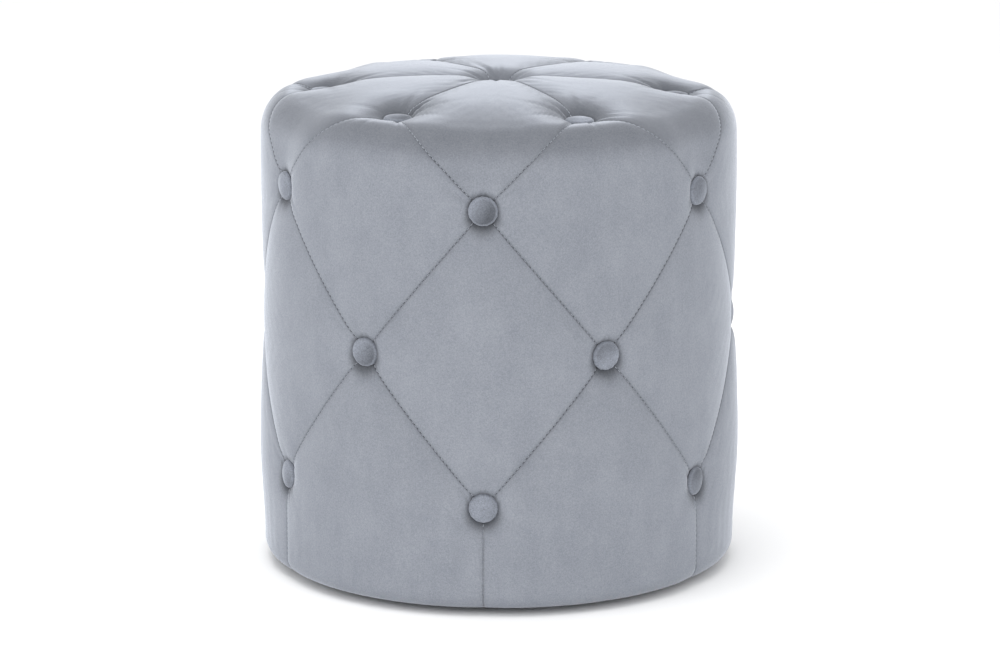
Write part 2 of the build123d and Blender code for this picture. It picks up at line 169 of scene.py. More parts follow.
class PoufCover(bpy.types.PropertyGroup):
    """Shape of the sewn cover"""

    crown_height: length_setting("Crown height", "Height of the dome if nothing drew it in", 0.4165)
    dome_radius: length_setting("Dome radius", "Radius of the shallow dome on top", 1.2)
    shoulder_radius: length_setting("Shoulder radius", "Radius between the dome and the side", 0.034)
    hem_radius: length_setting("Hem radius", "Radius at the foot of the side", 0.013)
    hem_return: length_setting("Hem return", "Width of cloth turned in under the base", 0.060)
    pillow_depth: length_setting("Pillow depth", "Drop of a panel towards its seams", 0.0018)
    pillow_reach: length_setting("Pillow reach", "Width over which a panel drops to its seams", 0.020)
    crease_depth: length_setting("Crease depth", "Sharper drop close to a seam", 0.0007)
    crease_reach: length_setting("Crease reach", "Width of the sharper drop", 0.004)
    seam_roll: length_setting("Seam roll", "Radius of the cloth where it turns into a seam", 0.0009)
    seam_gap: length_setting("Seam gap", "Gap between two panels at their seam", 0.0002)
    side_tuft_depth: length_setting("Side tuft depth", "Depth of the buttons on the side", 0.007)
    side_tuft_reach: length_setting("Side tuft reach", "Width of the bowl round a side button", 0.020)
    ring_tuft_reach: length_setting("Ring tuft reach", "Width of the bowl round a ring button", 0.038)
    centre_tuft_reach: length_setting("Centre tuft reach", "Width of the bowl round the middle button", 0.030)
    tuck_share: number_setting("Tuck share", "Share of a dent that is a steep tuck round its button", 0.38)
    side_tuck_reach: length_setting("Side tuck reach", "Width of the steep tuck on the side", 0.0028)
    top_tuck_reach: length_setting("Top tuck reach", "Width of the steep tuck on top", 0.006)
    # Painted shadow below a button and round it, where the nap is also flattened
    press_and_shade_reach: length_setting("Press reach", "Reach of the pressed nap below a button", 0.007)
    # Painted shade in a ring button's bowl, where the nap is also flattened
    ring_press_and_shade: number_setting("Ring press", "How far the nap in a ring button's bowl is pressed", 0.5)
    crown_ease: length_setting("Crown ease", "Drop of a crown panel where it rolls over the edge", 0.0085)
    crown_swell: length_setting("Crown swell", "Rise of a crown panel over its seams", 0.0026)
    side_swell: length_setting("Side swell", "Rise of a side panel over its seams", 0.001)
    hem_swell: length_setting("Hem swell", "Rise of a hem panel over its seams", 0.0038)
    side_valley: number_setting("Side valley", "Share of a side dent that runs on along the seams", 0.12)
    ring_valley: number_setting("Ring valley", "Share of a ring dent that runs on along the seams", 0.2)
    centre_valley: number_setting("Centre valley", "Share of the middle dent that runs along the seams", 0.04)
    valley_length: length_setting("Valley length", "Reach of that valley along the seam", 0.034)
    valley_reach: length_setting("Valley reach", "Reach of that valley across the seam", 0.010)
    unevenness: length_setting("Unevenness", "Height of the soft waves in the padding", 0.00035)
    wave_length: length_setting("Wave length", "Width of the soft waves in the padding", 0.045)
    swell_limit: length_setting("Swell limit", "Most that the padding may push a panel out", 0.0035)
    pressure: number_setting("Pressure", "Pressure of the padding on the cloth", 6.0)
    settle_frames: IntProperty(name="Settle frames", description="Frames of cloth simulation", default=20)
    cloth_cells: IntProperty(name="Cloth cells", description="Cells along a panel's edge", default=28)


class PoufTrim(bpy.types.PropertyGroup):
    """Buttons, stitches and dust cloth"""

    button_height: length_setting("Button height", "Height of a button's dome over its seat", 0.006)
    button_tilt: angle_setting("Button tilt", "Most that a button leans", radians(3))
    stitch_pitch: length_setting("Stitch pitch", "Spacing of the stitches in a seam", 0.0042)
    stitch_length: length_setting("Stitch length", "Length of thread that shows", 0.0028)
    stitch_radius: length_setting("Stitch radius", "Radius of the thread", 0.0003)
    cloth_layer: length_setting("Cloth layer", "Thickness of the dust cloth", 0.0005)
    cloth_sag: length_setting("Cloth sag", "Sag of the dust cloth over the base's opening", 0.0012)
    fold_width: length_setting("Fold width", "Width of the dust cloth's folded edge", 0.012)


class PoufFinish(bpy.types.PropertyGroup):
    """Colours of the finishes"""

    velvet: colour_setting("Velvet", "Velvet with the nap lying flat", (0.243, 0.262, 0.303))
    velvet_light: colour_setting("Light velvet", "Velvet with the nap brushed up", (0.357, 0.377, 0.420))
    button_velvet: colour_setting("Button velvet", "Velvet stretched over the buttons", (0.195, 0.210, 0.243))
    thread: colour_setting("Thread", "Sewing thread", (0.36, 0.385, 0.435))
    foam: colour_setting("Foam", "Upholstery foam", (0.70, 0.64, 0.42))
    plywood: colour_setting("Plywood", "Bare birch plywood", (0.47, 0.30, 0.14))
    pine: colour_setting("Pine", "Bare sawn pine", (0.56, 0.33, 0.13))
    hardboard: colour_setting("Hardboard", "Bare hardboard", (0.13, 0.062, 0.024))
    steel: colour_setting("Steel", "Zinc-plated steel", (0.55, 0.55, 0.56))
    twine: colour_setting("Twine", "Waxed twine", (0.52, 0.47, 0.37))
    toggle_plastic: colour_setting("Toggle plastic", "Moulded toggles", (0.70, 0.70, 0.66))
    glide_plastic: colour_setting("Glide plastic", "Moulded glides", (0.022, 0.022, 0.023))
    dust_cloth: colour_setting("Dust cloth", "Spun dust cloth", (0.018, 0.018, 0.019))
    floor: colour_setting("Floor", "Pale studio floor", (0.97, 0.97, 0.97))


class PoufStage(bpy.types.PropertyGroup):
    """Camera and light"""

    camera_distance: length_setting("Camera distance", "Level distance from the axis", 3.4)
    camera_height: length_setting("Camera height", "Height over the floor", 0.9797)
    camera_turn: angle_setting("Camera turn", "Turn round the pouf", radians(3.7))
    camera_pitch: angle_setting("Camera pitch", "How far it looks down", radians(13.05))
    lens: number_setting("Lens", "Focal length in millimetres", 147.84)
    camera_shift: number_setting("Camera shift", "Sideways shift", 0.0012)
    floor_size: length_setting("Floor size", "Half the width of the floor", 8.0)
    room_light: number_setting("Room light", "Strength of the white room", 1.0)
    overhead_power: number_setting("Overhead lamp", "Power in watts", 18.0)
    left_power: number_setting("Left lamp", "Power in watts", 11.0)
    right_power: number_setting("Right lamp", "Power in watts", 7.0)


class Outline:
    """The cover's outline in a plane through the axis, by length from the middle of the crown.

    It is a shallow dome, the shoulder, the straight side, the hem and the cloth turned under the base."""

    def __init__(self, sizes):
        self.sizes = sizes
        dome_centre = sizes.crown_height - sizes.dome_radius
        shoulder_middle = BODY_RADIUS - sizes.shoulder_radius
        inner_dome = sizes.dome_radius - sizes.shoulder_radius
        self.shoulder_height = dome_centre + sqrt(inner_dome**2 - shoulder_middle**2)
        self.dome_angle = asin(shoulder_middle / inner_dome)
        self.hem_height = HEM_BOTTOM + sizes.hem_radius
        self.hem_middle = BODY_RADIUS - sizes.hem_radius
        dome_end = sizes.dome_radius * self.dome_angle
        self.shoulder_end = dome_end + sizes.shoulder_radius * (pi / 2 - self.dome_angle)
        self.side_end = self.shoulder_end + self.shoulder_height - self.hem_height
        hem_end = self.side_end + sizes.hem_radius * pi / 2
        self.end = hem_end + sizes.hem_return - sizes.hem_radius
        # Each part's first length and tilt, the radius of its bend or none if it is straight, and the
        # radius and height of its bend's middle or of its start
        self.parts = np.array(
            (
                (0, 0, sizes.dome_radius, 0, dome_centre),
                (dome_end, self.dome_angle, sizes.shoulder_radius, shoulder_middle, self.shoulder_height),
                (self.shoulder_end, pi / 2, 0, BODY_RADIUS, self.shoulder_height),
                (self.side_end, pi / 2, sizes.hem_radius, self.hem_middle, self.hem_height),
                (hem_end, pi, 0, self.hem_middle, HEM_BOTTOM),
            )
        )

    def length_at_height(self, height):
        """Length at which the straight side reaches a height."""
        return self.shoulder_end + self.shoulder_height - height

    def button_lengths(self):
        """Lengths of the ring of buttons and of the upper, the middle and the lower row."""
        ring = self.sizes.dome_radius * asin(RING_RADIUS / self.sizes.dome_radius)
        return [ring] + [self.length_at_height(height) for height, angles in SIDE_ROWS.values()]

    def at(self, length):
        """Radius, height and tilt of the normal from upright, at lengths."""
        part = np.searchsorted(self.parts[1:, 0], length)
        start, tilt, bend, radius, height = np.moveaxis(self.parts[part], -1, 0)
        along = length - start
        bent = bend > 0
        tilt = tilt + np.where(bent, along / np.where(bent, bend, 1), 0)
        straight = np.where(bent, 0, along)
        radius = radius + bend * np.sin(tilt) + straight * np.cos(tilt)
        height = height + bend * np.cos(tilt) - straight * np.sin(tilt)
        return radius, height, tilt

    def point(self, angle, length, drop=0.0):
        """Points of the cover at angles and lengths, drawn in by a drop along the outline's normal."""
        radius, height, tilt = self.at(length)
        radius = radius - drop * np.sin(tilt)
        height = height - drop * np.cos(tilt)
        return np.stack((radius * np.cos(angle), radius * np.sin(angle), height), -1)

    def padding(self, length):
        """Depth of the padding under the cover: down to the foam, and thin where the cloth turns under."""
        tilt = self.at(length)[2]
        crown = self.sizes.crown_height - FOAM_CROWN
        side = BODY_RADIUS - FOAM_RADIUS
        over_shoulder = np.clip((tilt - self.dome_angle) / (pi / 2 - self.dome_angle), 0, 1)
        below = np.clip(tilt - pi / 2, 1e-4, pi / 2 - 1e-4)
        to_foam = (FOAM_RADIUS - self.hem_middle) / np.cos(below)
        to_base = (self.hem_height - BASE_BOTTOM) / np.sin(below)
        at_hem = self.sizes.hem_radius - np.minimum(to_foam, to_base)
        return np.where(tilt > pi / 2, at_hem, crown + (side - crown) * over_shoulder)


# A button's dent: its place on the outline, its depth, the widths of its bowl and its tuck, the share of it
# that runs on along the seams, how dark its bowl is painted in shade, where its nap is also flattened, and
# its folds
Tuft = namedtuple("Tuft", "angle length depth reach tuck valley press folds")
# A fold: its direction from straight down the outline, its depth, its reach and its width
Fold = namedtuple("Fold", "turn depth reach width")
# The short folds gathered round a button: their number, and the size of the largest
Gathers = namedtuple("Gathers", "count depth reach width")
CENTRE_GATHERS = Gathers(9, 0.0016, 0.011, 0.0028)
RING_GATHERS = Gathers(8, 0.0014, 0.010, 0.0026)
SIDE_GATHERS = Gathers(6, 0.0005, 0.007, 0.0024)
PLEAT_REACH = 0.009
PLEAT_WIDTH = 0.0026


def gathered_folds(random, gathers):
    """Short folds round a button, unevenly spread."""
    folds = []
    for step in range(gathers.count):
        turn = tau * (step + random.uniform(-0.35, 0.35)) / gathers.count
        depth = gathers.depth * random.uniform(0.35, 1.0)
        folds.append(Fold(turn, depth, gathers.reach * random.uniform(0.7, 1.3), gathers.width))
    return folds


def pleats(random):
    """The two longer pleats that run from a button of the ring towards the middle, beside the seam."""
    return [
        Fold(pi + side * random.uniform(0.2, 0.34), random.uniform(0.0014, 0.0024), PLEAT_REACH, PLEAT_WIDTH)
        for side in (-1, 1)
    ]


def place_tufts(outline):
    """All the buttons' dents."""
    sizes = outline.sizes
    random = np.random.default_rng(FOLD_SEED)
    ring, *rows = outline.button_lengths()
    centre_depth = sizes.crown_height - CENTRE_SEAT
    ring_depth = outline.at(ring)[1] - RING_SEAT
    tuck = sizes.top_tuck_reach
    centre = (centre_depth, sizes.centre_tuft_reach, tuck, sizes.centre_valley, 0.0)
    on_ring = (ring_depth, sizes.ring_tuft_reach, tuck, sizes.ring_valley, sizes.ring_press_and_shade)
    on_side = (sizes.side_tuft_depth, sizes.side_tuft_reach, sizes.side_tuck_reach, sizes.side_valley, 0.0)
    tufts = [Tuft(0.0, 0.0, *centre, gathered_folds(random, CENTRE_GATHERS))]
    for angle in MIDDLE_ANGLES:
        folds = gathered_folds(random, RING_GATHERS) + pleats(random)
        tufts.append(Tuft(angle, ring, *on_ring, folds))
    for length, (height, angles) in zip(rows, SIDE_ROWS.values()):
        for angle in angles:
            tufts.append(Tuft(angle, length, *on_side, gathered_folds(random, SIDE_GATHERS)))
    return tufts


def tuft_seats(outline, tufts):
    """Points of the cover in the middle of the dents, before they are drawn in."""
    return np.array([outline.point(tuft.angle, tuft.length) for tuft in tufts])


# Patterns of the panels: angle from the panel's middle, and length along the outline


def diamond(top, middle, bottom):
    """A panel with a button at its top, at each side and at its foot."""

    def pattern(u, v):
        angle = SECTOR / 2 * (u - v)
        length = (1 - u) * (1 - v) * top + (u * (1 - v) + (1 - u) * v) * middle + u * v * bottom
        return angle, length

    return pattern


def kite(ring, upper):
    """A panel from the middle of the crown to two buttons of the ring and one of the upper row."""

    def flat(angle, length):
        return np.stack((length * np.cos(angle), length * np.sin(angle)), -1)

    def outer_edge(share, side):
        return flat(side * SECTOR / 2 * (1 - share), ring + (upper - ring) * share)

    def pattern(u, v):
        right = flat(np.full_like(u, SECTOR / 2), ring * u)
        left = flat(np.full_like(v, -SECTOR / 2), ring * v)
        far_left, far_right = outer_edge(u, -1), outer_edge(v, 1)
        u, v = u[..., None], v[..., None]
        corners = u * (1 - v) * flat(SECTOR / 2, ring) + (1 - u) * v * flat(-SECTOR / 2, ring)
        corners = corners + u * v * flat(0.0, upper)
        place = (1 - v) * right + v * far_left + (1 - u) * left + u * far_right - corners
        return np.arctan2(place[..., 1], place[..., 0]), np.hypot(place[..., 0], place[..., 1])

    return pattern


def skirt(middle, lower, end):
    """A hem panel: a peak under a button of the middle row, and two upright seams down to its foot."""

    def pattern(u, v):
        top = middle + (lower - middle) * np.abs(2 * u - 1)
        return SECTOR * (u - 0.5), top + (end - top) * v

    return pattern


# A kind of panel: its name, its angles, its pattern, how many of its edges are sewn, its drop where it rolls
# over the edge of the crown, and its swell
PanelKind = namedtuple("PanelKind", "name angles pattern sewn ease swell")


def panel_kinds(outline):
    """The four kinds of panel, from the crown down."""
    sizes = outline.sizes
    ring, upper, middle, lower = outline.button_lengths()
    return [
        PanelKind("crown", COLUMN_ANGLES, kite(ring, upper), 4, sizes.crown_ease, sizes.crown_swell),
        PanelKind("shoulder", MIDDLE_ANGLES, diamond(ring, upper, middle), 4, 0, 0),
        PanelKind("side", COLUMN_ANGLES, diamond(upper, middle, lower), 4, 0, sizes.side_swell),
        PanelKind("hem", MIDDLE_ANGLES, skirt(middle, lower, outline.end), 3, 0, sizes.hem_swell),
    ]


def edge_distances(points, sewn):
    """Distances of the points of a grid from its sewn edges: its first and last row, then its columns."""
    along_u, along_v = np.gradient(points, axis=(0, 1))
    square = np.linalg.norm(np.cross(along_u, along_v), axis=-1)
    square /= np.linalg.norm(along_u, axis=-1) * np.linalg.norm(along_v, axis=-1)
    distances = []
    for axis in (0, 1):
        steps = np.linalg.norm(np.diff(points, axis=axis), axis=-1)
        first = np.zeros_like(np.take(steps, [0], axis))
        far = np.concatenate((first, np.cumsum(steps, axis)), axis)
        distances += [far * square, (np.take(far, [-1], axis) - far) * square]
    return distances[:sewn]


def closeness(edges, reach):
    """How near a point is to the sewn edges: one on a seam, falling to none in a panel's middle."""
    apart = 1.0
    for distance in edges:
        apart = apart * (1 - np.exp(-distance / reach))
    return 1 - apart


def dent(distance, tuft, tuck_share):
    """Shape of a dent by distance from its middle: flat, a steep tuck, then a bowl with a soft lip."""
    beyond = np.maximum(distance - FLAT_SHARE * BUTTON_RADIUS, 0)
    tuck = np.exp(-((beyond / tuft.tuck) ** 1.5))
    bowl = np.clip(1 - beyond / tuft.reach, 0, 1) ** 2
    return tuck_share * tuck + (1 - tuck_share) * bowl


def fold_drop(flat, outline, tuft):
    """Depth of a button's folds at points of the cover."""
    tilt = outline.at(tuft.length)[2]
    down = np.array((cos(tilt) * cos(tuft.angle), cos(tilt) * sin(tuft.angle), -sin(tilt)))
    around = np.array((-sin(tuft.angle), cos(tuft.angle), 0.0))
    offset = flat - outline.point(tuft.angle, tuft.length)
    x = offset @ down
    y = offset @ around
    drop = 0.0
    for fold in tuft.folds:
        along = (x * cos(fold.turn) + y * sin(fold.turn) - FOLD_START * BUTTON_RADIUS) / fold.reach
        across = (y * cos(fold.turn) - x * sin(fold.turn)) / fold.width
        rise = np.where(along > 0, along * np.exp(1 - along), 0)
        drop = drop + fold.depth * rise * (1 - FOLD_RIDGE * across**2) * np.exp(-(across**2))
    return drop


def soft_waves(flat, sizes):
    """Soft waves of the padding."""
    places = flat.reshape(-1, 3) / sizes.wave_length
    heights = [noise.noise(Vector(place)) for place in places]
    return sizes.unevenness * np.array(heights).reshape(flat.shape[:-1])


def turned_under(outline, length):
    """Share of the drawing in that is left where the cloth turns under the base."""
    tilt = outline.at(length)[2]
    return 1 - UNDER_LOSS * np.clip((tilt - UNDER_START) / (pi - UNDER_START), 0, 1)


def broad_drop(outline, tufts, flat, edges):
    """How far the seams and buttons draw the cover in, at points with these distances from the sewn edges."""
    sizes = outline.sizes
    seam = sizes.pillow_depth + sizes.crease_depth
    drop = sizes.pillow_depth * closeness(edges, sizes.pillow_reach)
    drop = drop + sizes.crease_depth * closeness(edges, sizes.crease_reach)
    beside_seam = closeness(edges, sizes.valley_reach)
    for tuft, seat in zip(tufts, tuft_seats(outline, tufts)):
        distance = np.linalg.norm(flat - seat, axis=-1)
        hollow = dent(distance, tuft, sizes.tuck_share)
        valley = tuft.valley * np.exp(-distance / sizes.valley_length) * (1 - hollow) * beside_seam
        drop = drop + (tuft.depth - seam) * (hollow + valley)
    return drop


def fine_drop(outline, tufts, flat):
    """Folds round the buttons and soft waves of the padding."""
    drop = soft_waves(flat, outline.sizes)
    for tuft in tufts:
        drop = drop + fold_drop(flat, outline, tuft)
    return drop


def nap_press_and_shade(outline, tufts, flat, edges):
    """How far the nap is flattened and painted in shade, from none to one: round the buttons with a painted
    shadow that reaches further below them, in the ring buttons' bowls, and along the seams.
    """
    pressed_and_shaded = SEAM_PRESS_AND_SHADE * closeness(edges, PRESSED_AND_SHADED_SEAM_WIDTH)
    for tuft, seat in zip(tufts, tuft_seats(outline, tufts)):
        offset = seat - flat
        distance = np.linalg.norm(offset, axis=-1)
        # The painted shadow reaches further below a button than above it
        below = np.clip(offset[..., 2] / np.maximum(distance, BUTTON_RADIUS), 0, 1)
        reach = outline.sizes.press_and_shade_reach * (SHADE_REACH_ABOVE + (1 - SHADE_REACH_ABOVE) * below)
        beyond = np.maximum(distance - BUTTON_RADIUS, 0)
        rim = np.exp(-((beyond / reach) ** 2))
        # Painted shade in the bowl round a button of the ring
        bowl = tuft.press * np.clip(1 - beyond / tuft.reach, 0, 1) ** 2
        pressed_and_shaded = np.max((pressed_and_shaded, rim, bowl), axis=0)
    return pressed_and_shaded


def crown_roll(u, v):
    """Shape of a crown panel's roll: none at its seams, most beyond the line between its ring buttons."""
    most = 0.75
    return (u * v) ** 3 * (1 - u) * (1 - v) / (most**6 * (1 - most) ** 2)


def panel_rise(u, v, above_foot):
    """Shape of a panel's swell: none at its seams and its foot, most in its middle."""
    fade = np.clip(above_foot / SWELL_FADE, 0, 1)
    return 16 * u * (1 - u) * v * (1 - v) * fade**2 * (3 - 2 * fade)


def rolled_edge(edges, radius):
    """Drop of the cloth where it turns down into a seam."""
    inside = np.clip(radius - np.min(edges, axis=0), 0, radius)
    return radius - np.sqrt(radius**2 - inside**2)


def graded(length, roll):
    """Shares along an edge of a length: close together at its ends, where the cloth turns into the seams."""
    steps_in_roll = 4
    places = [roll * (1 - cos(pi / 2 * step / steps_in_roll)) for step in range(steps_in_roll + 1)]
    step = roll / 2
    while places[-1] < length / 2:
        places.append(places[-1] + step)
        step = min(step * CELL_GROWTH, LARGEST_CELL)
    half = np.array(places) / places[-1] / 2
    return np.concatenate((half, 1 - half[-2::-1]))


def panel_shares(outline, kind):
    """Shares along both ways of a panel at which its points lie, inside half the seam's gap."""
    probe = np.array([[0.0, 0.5, 1.0]] * 3)
    edges = edge_distances(outline.point(*kind.pattern(probe.T, probe)), kind.sewn)
    shares = []
    for edge in (edges[0], edges[2]):
        length = float(edge.max())
        inset = outline.sizes.seam_gap / 2 / length
        shares.append(inset + (1 - 2 * inset) * graded(length, outline.sizes.seam_roll))
    return shares


def cubic_weights(shares, cells):
    """Weights that carry values from an even row of points to shares along it, on smooth cubics."""
    weights = np.zeros((len(shares), cells + 1))
    for row, share in enumerate(shares):
        cell = min(int(share * cells), cells - 1)
        t = share * cells - cell
        parts = (
            -0.5 * t + t**2 - 0.5 * t**3,
            1 - 2.5 * t**2 + 1.5 * t**3,
            0.5 * t + 2 * t**2 - 1.5 * t**3,
            -0.5 * t**2 + 0.5 * t**3,
        )
        for step, part in enumerate(parts, start=-1):
            weights[row, min(max(cell + step, 0), cells)] += part
    return weights


def new_object(name, points, faces):
    """A new object with a smooth mesh, and sharp edges where its faces turn strongly."""
    mesh = bpy.data.meshes.new(name)
    mesh.from_pydata(np.asarray(points).reshape(-1, 3).tolist(), [], faces)
    mesh.update()
    mesh.shade_smooth()
    mesh.set_sharp_from_angle(angle=radians(50))
    thing = bpy.data.objects.new(name, mesh)
    bpy.context.scene.collection.objects.link(thing)
    return thing


def dress(piece, material, node):
    """Finish a padded piece and put it in place of a node."""
    piece.data.materials.append(material)
    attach(piece, "root")
    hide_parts(node)


def mark_press_and_shade(piece, pressed_and_shaded):
    """Keep with each point of a piece how far its nap is flattened and painted in shade."""
    piece.data.attributes.new("pressed_and_shaded", "FLOAT", "POINT").data.foreach_set("value", pressed_and_shaded)


def grid_faces(rows, columns, start=0, flipped=False):
    """Quads over a grid of points."""
    faces = []
    for i in range(rows - 1):
        for j in range(columns - 1):
            a = start + i * columns + j
            quad = (a, a + 1, a + columns + 1, a + columns)
            faces.append(quad[::-1] if flipped else quad)
    return faces


def band(here, there, count):
    """Quads between two rings of points."""
    faces = []
    for step in range(count):
        after = (step + 1) % count
        faces.append((here + step, there + step, there + after, here + after))
    return faces


# The panels


def swollen(sizes, points, faces, held):
    """Points of a cloth after padding has swollen it for a while, with some of them held."""
    cloth = new_object("settling_cover", points, faces)
    sewn = cloth.vertex_groups.new(name="sewn")
    sewn.add([int(index) for index in held], 1.0, "REPLACE")
    modifier = cloth.modifiers.new("settle", "CLOTH")
    settings = modifier.settings
    settings.quality = 6
    settings.mass = 0.02
    settings.tension_stiffness = settings.compression_stiffness = 30
    settings.shear_stiffness = 10
    settings.bending_stiffness = 0.5
    settings.vertex_group_mass = sewn.name
    settings.effector_weights.gravity = 0
    settings.use_pressure = True
    settings.uniform_pressure_force = sizes.pressure
    modifier.collision_settings.use_collision = False
    for step in range(1, sizes.settle_frames + 1):
        bpy.context.scene.frame_set(step)
    settled = cloth.evaluated_get(bpy.context.evaluated_depsgraph_get()).to_mesh()
    moved = np.zeros(len(points) * 3)
    settled.vertices.foreach_get("co", moved)
    cloth.to_mesh_clear()
    bpy.context.scene.frame_set(1)
    bpy.data.objects.remove(cloth)
    return moved.reshape(-1, 3)


def settle(outline, tufts, kinds):
    """Swell the sewn cover by cloth simulation, held at its seams, buttons and foot.

    Returns for each kind of panel, and each of its panels, how far the even grid of points moved."""
    sizes = outline.sizes
    count = sizes.cloth_cells + 1
    even = np.linspace(0, 1, count)
    u, v = np.meshgrid(even, even, indexing="ij")
    inner = (u > 0) & (u < 1) & (v > 0) & (v < 1)
    seats = tuft_seats(outline, tufts)
    grids, held, faces = [], [], []
    for kind in kinds:
        angle, length = kind.pattern(u, v)
        for turn in kind.angles:
            flat = outline.point(angle + turn, length)
            drop = broad_drop(outline, tufts, flat, edge_distances(flat, kind.sewn))
            faces += grid_faces(count, count, len(grids) * count**2)
            grids.append(outline.point(angle + turn, length, drop * turned_under(outline, length)))
            to_seat = np.min([np.linalg.norm(flat - seat, axis=-1) for seat in seats], axis=0)
            held.append(~inner | (to_seat < BUTTON_RADIUS) | (length > outline.side_end))
    points = np.array(grids)
    welded, place = np.unique(np.round(points.reshape(-1, 3), 7), axis=0, return_inverse=True)
    place = place.reshape(-1)
    faces = [[int(place[corner]) for corner in face] for face in faces]
    faces = [face for face in faces if len(set(face)) == len(face)]
    moved = swollen(sizes, welded, faces, np.unique(place[np.array(held).reshape(-1)]))
    shift = moved[place] - points.reshape(-1, 3)
    far = np.linalg.norm(shift, axis=-1, keepdims=True)
    shift = shift * np.minimum(1, sizes.swell_limit / np.maximum(far, 1e-9))
    panels = iter(shift.reshape(points.shape))
    return {kind.name: [next(panels) for turn in kind.angles] for kind in kinds}


def closed_panel(outer, back):
    """Points and faces of a padded panel: its face, its back and the walls between them along the seams."""
    rows, columns = outer.shape[:2]
    count = rows * columns
    faces = grid_faces(rows, columns) + grid_faces(rows, columns, count, flipped=True)
    order = np.arange(count).reshape(rows, columns)
    rim = np.concatenate((order[:, 0], order[-1, 1:], order[-2::-1, -1], order[0, -2:0:-1])).tolist()
    for here, there in zip(rim, rim[1:] + rim[:1]):
        faces.append((here, there, there + count, here + count))
    return np.concatenate((outer.reshape(-1, 3), back.reshape(-1, 3))), faces


def build_panels(outline, finish):
    """All the velvet panels, in place of the plain ones."""
    sizes = outline.sizes
    tufts = place_tufts(outline)
    kinds = panel_kinds(outline)
    velvet = nap_material("Silver blue velvet", finish.velvet, finish.velvet_light, 0.03, 1.0, 0.95)
    swell = settle(outline, tufts, kinds)
    for kind in kinds:
        shares = panel_shares(outline, kind)
        u, v = np.meshgrid(*shares, indexing="ij")
        carry_u, carry_v = [cubic_weights(share, sizes.cloth_cells) for share in shares]
        angle, length = kind.pattern(u, v)
        swelling = kind.swell * panel_rise(u, v, outline.side_end - length)
        for index, turn in enumerate(kind.angles):
            flat = outline.point(angle + turn, length)
            edges = edge_distances(flat, kind.sewn)
            drop = broad_drop(outline, tufts, flat, edges) + fine_drop(outline, tufts, flat)
            drop = drop + kind.ease * crown_roll(u, v) - swelling + rolled_edge(edges, sizes.seam_roll)
            outer = outline.point(angle + turn, length, drop * turned_under(outline, length))
            if swell is not None:
                outer = outer + np.einsum("ab,bcd,ec->aed", carry_u, swell[kind.name][index], carry_v)
            back = outline.point(angle + turn, length, outline.padding(length) - sizes.seam_gap)
            panel = new_object(f"velvet_{kind.name}_{index + 1}", *closed_panel(outer, back))
            # Painted shade round the buttons and along the seams, none on the panel's back
            pressed_and_shaded = nap_press_and_shade(outline, tufts, flat, edges).reshape(-1)
            mark_press_and_shade(panel, np.concatenate((pressed_and_shaded, np.zeros_like(pressed_and_shaded))))
            dress(panel, velvet, f"{kind.name}_panel_{index + 1}")


# Materials

# Kinds of a node group's sockets by their number of values
SOCKETS = {1: "NodeSocketFloat", 3: "NodeSocketVector", 4: "NodeSocketColor"}
GREY = (0.3, 0.3, 0.3, 1.0)


def wired(tree, kind, inputs=(), **settings):
    """A new node with its settings, values and links."""
    node = tree.nodes.new(kind)
    for key, value in settings.items():
        setattr(node, key, value)
    for key, value in dict(inputs).items():
        if isinstance(value, bpy.types.NodeSocket):
            tree.links.new(value, node.inputs[key])
        else:
            node.inputs[key].default_value = value
    return node


def worked(tree, operation, *values):
    """Numbers put together by arithmetic."""
    return wired(tree, "ShaderNodeMath", enumerate(values), operation=operation).outputs[0]


def mottled(tree, place, scale, detail, roughness=0.5):
    """Noise at a place."""
    inputs = {"Vector": place, "Scale": scale, "Detail": detail, "Roughness": roughness}
    return wired(tree, "ShaderNodeTexNoise", inputs).outputs[0]


def spread(tree, value, low, high, to_low=0.0, to_high=1.0):
    """A value carried from one range to another."""
    inputs = {"Value": value, "From Min": low, "From Max": high, "To Min": to_low, "To Max": to_high}
    return wired(tree, "ShaderNodeMapRange", inputs).outputs[0]


def mixed(tree, factor, first, second, blend="MIX"):
    """Two colours mixed by a factor."""
    inputs = {"Factor": factor, 6: first, 7: second}
    return wired(tree, "ShaderNodeMix", inputs, data_type="RGBA", blend_type=blend).outputs[2]


def new_group(name, inputs, outputs):
    """A shader node group, its input sockets, its output node and the place of a point on its object."""
    group = bpy.data.node_groups.new(name, "ShaderNodeTree")
    for label, default in inputs.items():
        kind = SOCKETS[np.size(default)]
        group.interface.new_socket(label, in_out="INPUT", socket_type=kind).default_value = default
    for label, values in outputs.items():
        group.interface.new_socket(label, in_out="OUTPUT", socket_type=SOCKETS[values])
    given = group.nodes.new("NodeGroupInput").outputs
    result = group.nodes.new("NodeGroupOutput")
    return group, given, result, wired(group, "ShaderNodeTexCoord").outputs["Object"]


def give(group, result, **values):
    """Link a group's values to its outputs."""
    for label, value in values.items():
        group.links.new(value, result.inputs[label])
    return group


